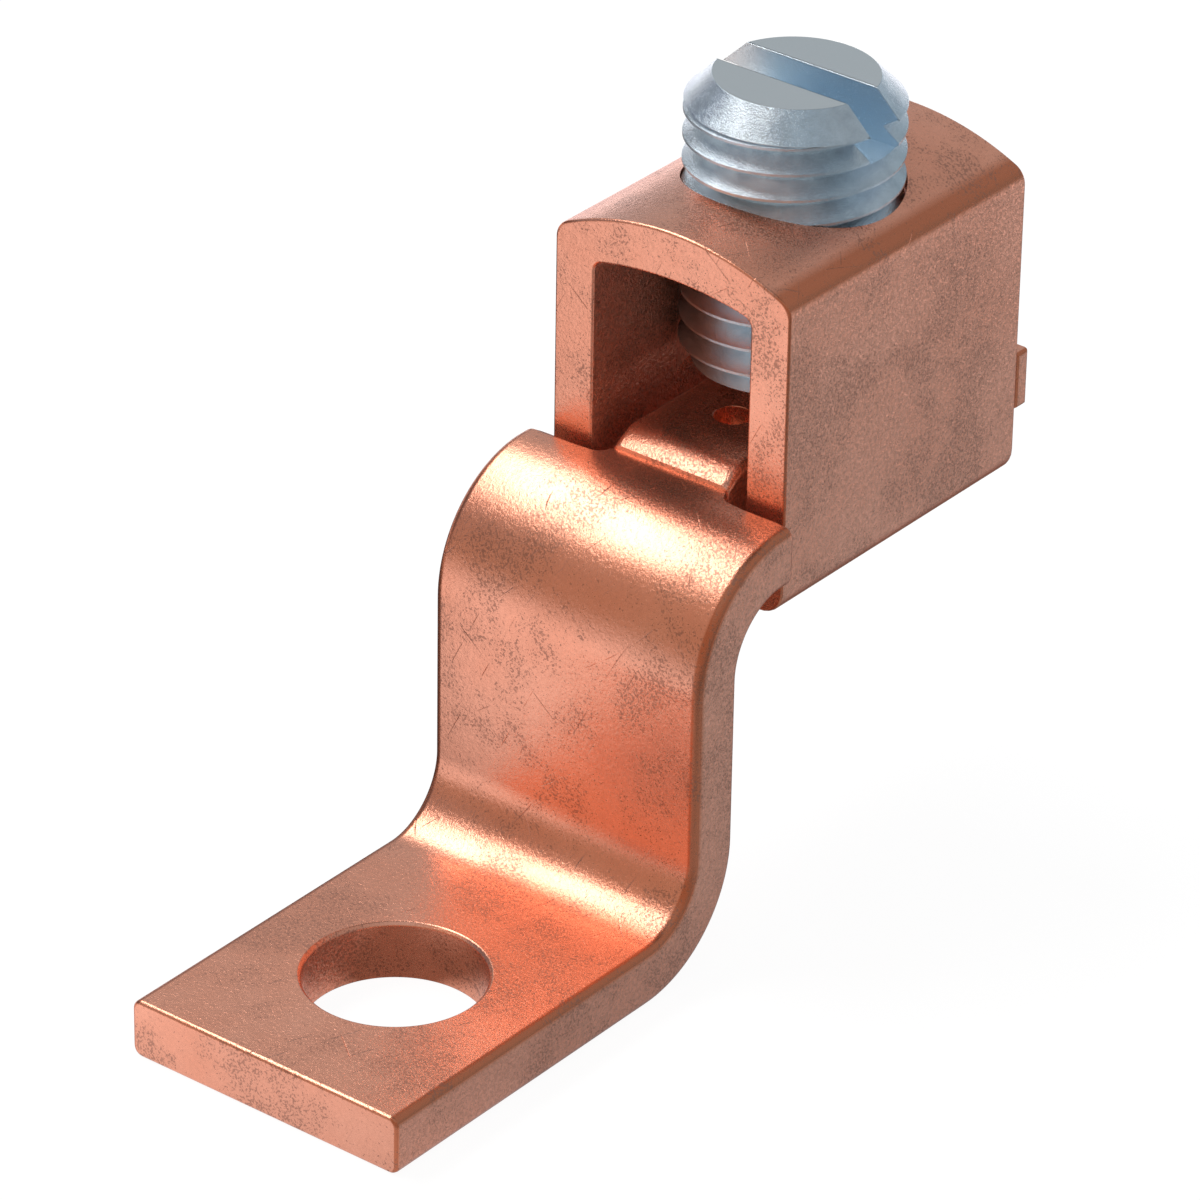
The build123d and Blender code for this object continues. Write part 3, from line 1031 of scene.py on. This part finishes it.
def floor_material(stage):
    """White paper with its shadow for the camera, and, where metal mirrors it, soft glowing patches
    of painted light and painted shadow.
    """
    paper = bpy.data.materials.new("floor")
    paper.use_nodes = True
    tree = paper.node_tree
    shader = tree.nodes["Principled BSDF"]
    shader.inputs["Base Color"].default_value = (0.86, 0.86, 0.86, 1)
    shader.inputs["Roughness"].default_value = 0.9
    shader.inputs["Specular IOR Level"].default_value = 0.0
    ray = put(tree, "ShaderNodeLightPath")
    white = put(tree, "ShaderNodeEmission", {"Color": (1, 1, 1, 1), "Strength": 1.1})
    part_white = calc(tree, "MULTIPLY", ray.outputs["Is Camera Ray"], 0.85)
    shown = put(tree, "ShaderNodeMixShader",
                {0: part_white, 1: shader.outputs[0], 2: white.outputs[0]})

    # places on the floor are in metres from the stud hole's axis
    spot = put(tree, "ShaderNodeTexCoord").outputs["Object"]
    to_right, to_back, across_hole = toward(-37, 0), toward(38, 0), toward(128, 0)
    # painted shadow of the lug on the floor towards the right, fading farther away
    dull = blend_colour(tree, gradient(tree, spot, to_right, 0.004, 0.032),
                        opaque(stage.shadowed_floor), opaque(stage.far_floor))
    tone = blend_colour(tree, gradient(tree, spot, to_right, -0.010, 0.008),
                        opaque(stage.bright_floor), dull)
    # a painted lit patch on the floor
    strip = calc(tree, "MULTIPLY", gradient(tree, spot, ALONG, 0.020, 0.032),
                 gradient(tree, spot, ACROSS, -0.009, -0.003))
    tone = blend_colour(tree, strip, tone, opaque(stage.bright_floor))
    # painted shade on the floor behind the lug
    behind = calc(tree, "MULTIPLY", gradient(tree, spot, to_back, 0.007, 0.014),
                  gradient(tree, spot, ACROSS, 0.004, 0.010))
    tone = blend_colour(tree, behind, tone, opaque(stage.shaded_back_floor))
    away = put(tree, "ShaderNodeVectorMath", {0: spot}, operation="LENGTH").outputs["Value"]
    tone = blend_colour(tree, remap(tree, away, 0.075, 0.095), tone, opaque(stage.bright_floor))
    past_front = gradient(tree, spot, ALONG, -0.0072, -0.0060)
    past_side = gradient(tree, unsigned(tree, spot), (0.0, -1.0, 0.0), -0.0061, -0.0050)
    under = calc(tree, "MULTIPLY", past_front, past_side)
    tone = blend_colour(tree, under, tone, opaque(stage.under_floor))
    # painted light on the floor at the stud hole's sides
    aside = calc(tree, "ABSOLUTE", dot(tree, spot, across_hole))
    in_hole = calc(tree, "MULTIPLY", calc(tree, "LESS_THAN", away, 0.0033),
                   remap(tree, aside, 0.0012, 0.0022))
    tone = blend_colour(tree, in_hole, tone, opaque(stage.lit_hole_floor))
    # painted light and shade: gradients that brighten the mirrored floor in two directions and
    # darken it in two others
    glow = 1.0
    for axis, low, high, gain in (
        ((-0.45, 0.89, 0.0), 0.006, 0.016, 0.24),
        (ALONG, 0.085, 0.1, 0.8),
        (to_right, 0.034, 0.055, -0.25),
        (toward(-142, 0), 0.010, 0.020, -0.55),
    ):
        glow = calc(tree, "MULTIPLY_ADD", gradient(tree, spot, axis, low, high), gain, glow)
    mirrored = put(tree, "ShaderNodeEmission", {"Color": tone, "Strength": glow})
    pick = put(tree, "ShaderNodeMixShader",
               {0: ray.outputs["Is Glossy Ray"], 1: shown.outputs[0], 2: mirrored.outputs[0]})
    tree.links.new(pick.outputs[0], tree.nodes["Material Output"].inputs["Surface"])
    return paper


class LUG_OT_stage(bpy.types.Operator):
    """Makes the floor, the soft light and the camera"""

    bl_idname = "lug.make_stage"
    bl_label = "Make Stage"

    def execute(self, context):
        scene = context.scene
        stage = scene.lug_stage
        scene.view_settings.view_transform = "Standard"
        cam = bpy.data.cameras.new("camera")
        cam.lens = CAMERA_LENS
        cam.sensor_width = 36.0
        cam.clip_start = 0.01
        cam.clip_end = 10.0
        shown = bpy.data.objects.new("camera", cam)
        turn = look(CAMERA_YAW, CAMERA_PITCH, CAMERA_ROLL)
        shown.matrix_world = Matrix.Translation(CAMERA_PLACE) @ turn.to_4x4()
        scene.collection.objects.link(shown)
        scene.camera = shown

        world = bpy.data.worlds.new("studio")
        scene.world = world
        world.use_nodes = True
        tree = world.node_tree
        tree.nodes.clear()
        ray = put(tree, "ShaderNodeLightPath")
        towards = put(tree, "ShaderNodeTexCoord").outputs["Generated"]
        side = gradient(tree, towards, toward(-20, 0), -0.6, 0.6)
        high = gradient(tree, towards, UPWARD, 0.1, 0.55)
        far = blend_colour(tree, high, opaque(stage.horizon), opaque(stage.cool_room))
        room = blend_colour(tree, side, opaque(stage.warm_room), far)
        for axis, low, tone in (
            (UPWARD, 0.85, stage.zenith),
            (toward(-142, 60), 0.84, stage.front_sky),
            (toward(104, 20), 0.86, stage.left_gap),
        ):
            room = blend_colour(tree, gradient(tree, towards, axis, low, 0.96), room, opaque(tone))
        seen = blend_colour(tree, ray.outputs["Is Camera Ray"], room, (1, 1, 1, 1))
        # copper that faces copper picks up more of the warm side, and most of it in the corners
        between = calc(tree, "GREATER_THAN", ray.outputs["Ray Depth"], MIRRORED_ONCE + 0.5)
        corner = calc(tree, "GREATER_THAN", ray.outputs["Ray Depth"], MIRRORED_ONCE + 1.5)
        warm = calc(tree, "MULTIPLY", between, calc(tree, "SUBTRACT", 1.0, side))
        seen = blend_colour(tree, warm, seen, opaque(stage.twice_room))
        strength = calc(tree, "MULTIPLY_ADD", corner, 0.6, 1.0)
        light = put(tree, "ShaderNodeBackground", {"Color": seen, "Strength": strength})
        out = put(tree, "ShaderNodeOutputWorld")
        tree.links.new(light.outputs[0], out.inputs["Surface"])

        mesh = bpy.data.meshes.new("floor")
        reach = 1.5
        corners = [(x * reach, y * reach, 0) for x, y in ((-1, -1), (1, -1), (1, 1), (-1, 1))]
        mesh.from_pydata(corners, [], [(0, 1, 2, 3)])
        floor = new_object("floor", mesh)
        mesh.materials.append(floor_material(stage))

        target, distance, width = (0.01, 0.0, 0.012), 0.5, 0.17
        soft_lamp("key", toward(66, 51), toward(121, 58), target, distance, width, stage.key_power)
        return {"FINISHED"}


# Panel and registration


class LUG_PT_panel(bpy.types.Panel):
    """Lists the lug's sizes, its finishes and the buttons that make its pieces"""

    bl_idname = "LUG_PT_panel"
    bl_label = "Mechanical Lug"
    bl_space_type = "VIEW_3D"
    bl_region_type = "UI"
    bl_category = "Lug"

    def draw(self, context):
        for title, name, operator in (
            ("Tang", "lug_tang", "lug.make_tang"),
            ("Collar", "lug_collar", "lug.make_collar"),
            ("Set Screw", "lug_screw", "lug.make_screw"),
            ("Finishes", "lug_finishes", None),
            ("Stage", "lug_stage", "lug.make_stage"),
        ):
            box = self.layout.box()
            box.label(text=title)
            group = getattr(context.scene, name)
            for key in group.__annotations__:
                box.prop(group, key)
            if operator:
                box.operator(operator)


GROUPS = {
    "lug_tang": LugTangSizes,
    "lug_collar": LugCollarSizes,
    "lug_screw": LugScrewSizes,
    "lug_finishes": LugFinishes,
    "lug_stage": LugStage,
}
CLASSES = (*GROUPS.values(), LUG_OT_tang, LUG_OT_collar, LUG_OT_screw, LUG_OT_stage, LUG_PT_panel)


def register():
    for cls in CLASSES:
        bpy.utils.register_class(cls)
    for name, cls in GROUPS.items():
        setattr(bpy.types.Scene, name, bpy.props.PointerProperty(type=cls))


def unregister():
    for name in GROUPS:
        delattr(bpy.types.Scene, name)
    for cls in reversed(CLASSES):
        bpy.utils.unregister_class(cls)


def main():
    register()
    bpy.ops.lug.make_tang()
    bpy.ops.lug.make_collar()
    bpy.ops.lug.make_screw()
    bpy.ops.lug.make_stage()


if __name__ == "__main__":
    main()
